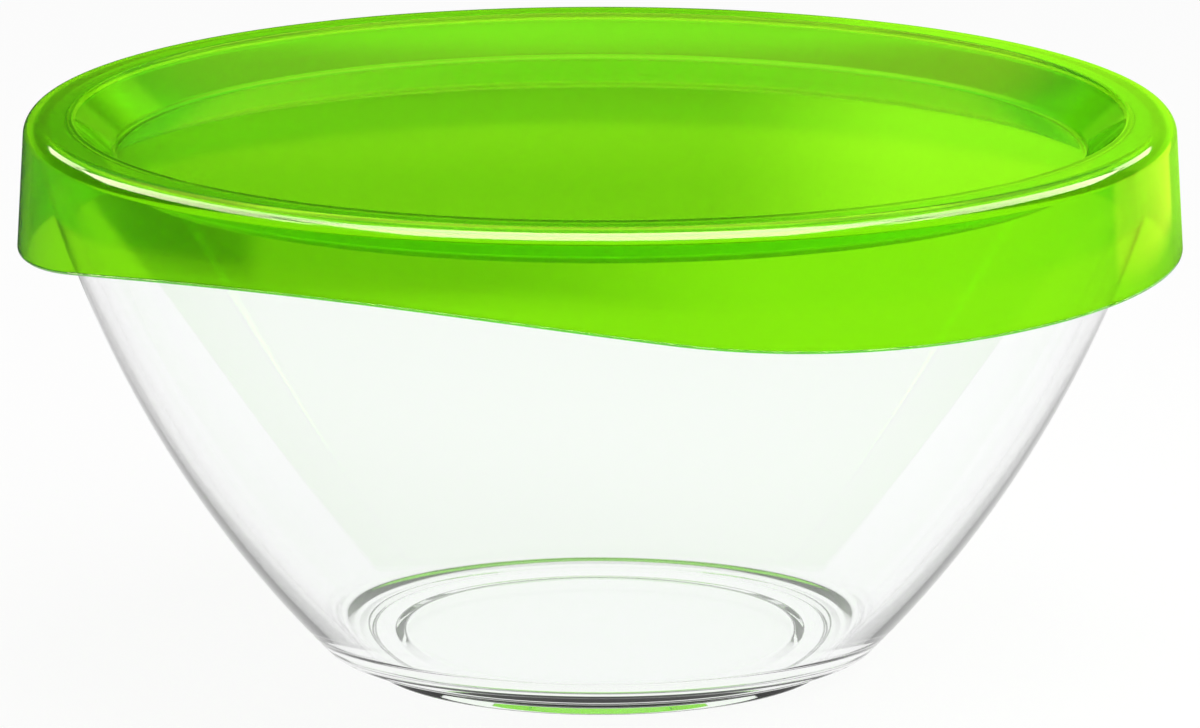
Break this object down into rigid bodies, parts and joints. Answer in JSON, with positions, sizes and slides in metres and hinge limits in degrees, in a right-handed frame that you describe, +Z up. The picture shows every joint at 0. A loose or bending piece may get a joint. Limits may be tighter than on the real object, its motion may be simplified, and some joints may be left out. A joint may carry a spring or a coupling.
{
  "type": "salad bowl with lid",
  "caption": "Clear glass salad bowl with a low foot ring and a push-on translucent green lid, whose deep skirt has an arched cutaway on one side.",
  "frame": {"origin": "middle of the foot's underside, on the bowl's axis", "axes": "+Z up along the bowl's axis, -Y towards the middle of the lid's cutaway, +X to the right seen from there"},
  "size_m": [0.276, 0.2753, 0.1333],
  "materials": {
    "clear_glass": "clear pressed and fire-polished",
    "green_plastic": "glossy, tinted right through, translucent"
  },
  "bodies": {
    "bowl": {"bowl": "clear_glass"},
    "lid": {"lid": "green_plastic"}
  },
  "joints": [
    {"name": "lid_lift", "type": "slide", "parent": "bowl", "child": "lid", "axis": [0, 0, 1], "range_m": [0, 0.12]}
  ]
}
